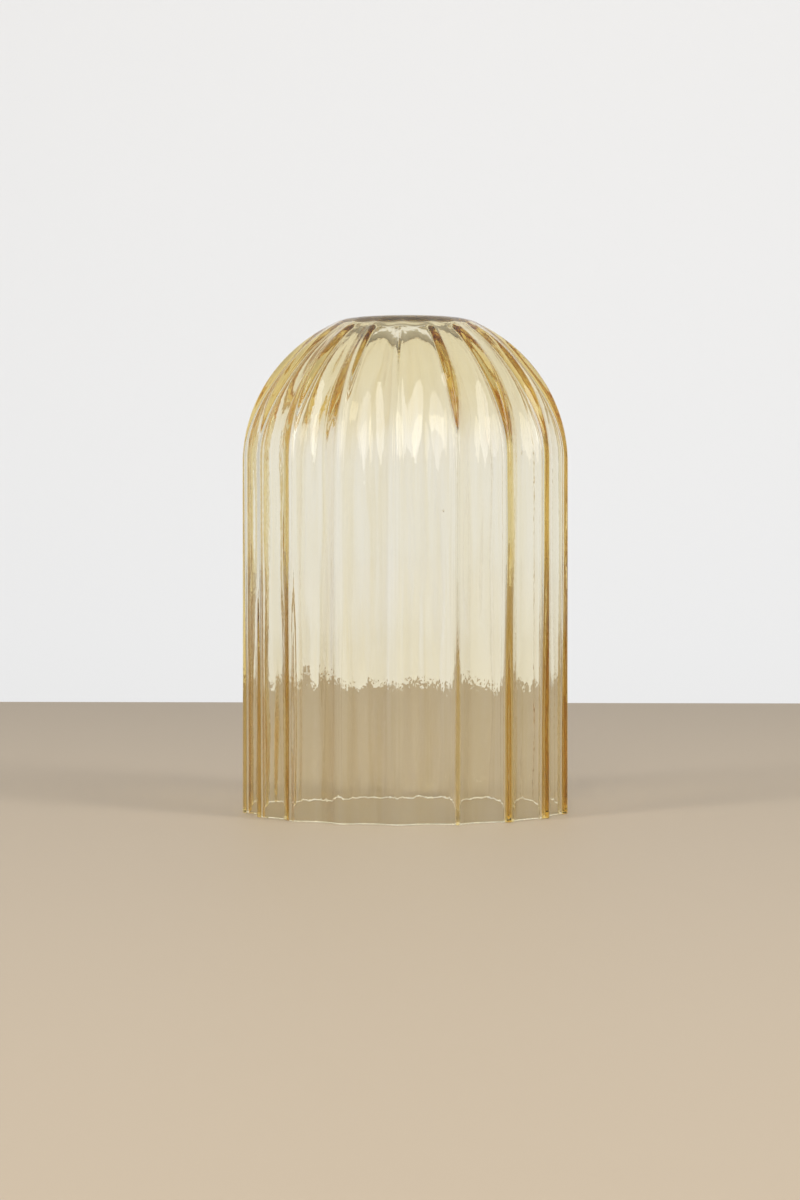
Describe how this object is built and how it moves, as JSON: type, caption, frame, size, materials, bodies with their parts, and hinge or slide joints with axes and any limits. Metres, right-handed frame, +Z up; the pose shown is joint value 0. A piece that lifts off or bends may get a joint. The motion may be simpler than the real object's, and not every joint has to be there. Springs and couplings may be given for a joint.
{
  "type": "glass lampshade",
  "caption": "Fluted dome shade in pale amber glass, open at the bottom, with a round lampholder hole in its flat top.",
  "frame": {"origin": "centre of the mouth rim, on the plane that the shade stands on", "axes": "+Z up along the shade's axis, from the open mouth to the lampholder hole; one ridge between flutes faces -Y"},
  "size_m": [0.1478, 0.15, 0.225],
  "materials": {
    "amber_glass": "clear pale amber glass, fire-polished, with a ground mouth rim and a ground lampholder hole"
  },
  "bodies": {
    "root": {"glass_shade": "amber_glass"}
  },
  "joints": []
}
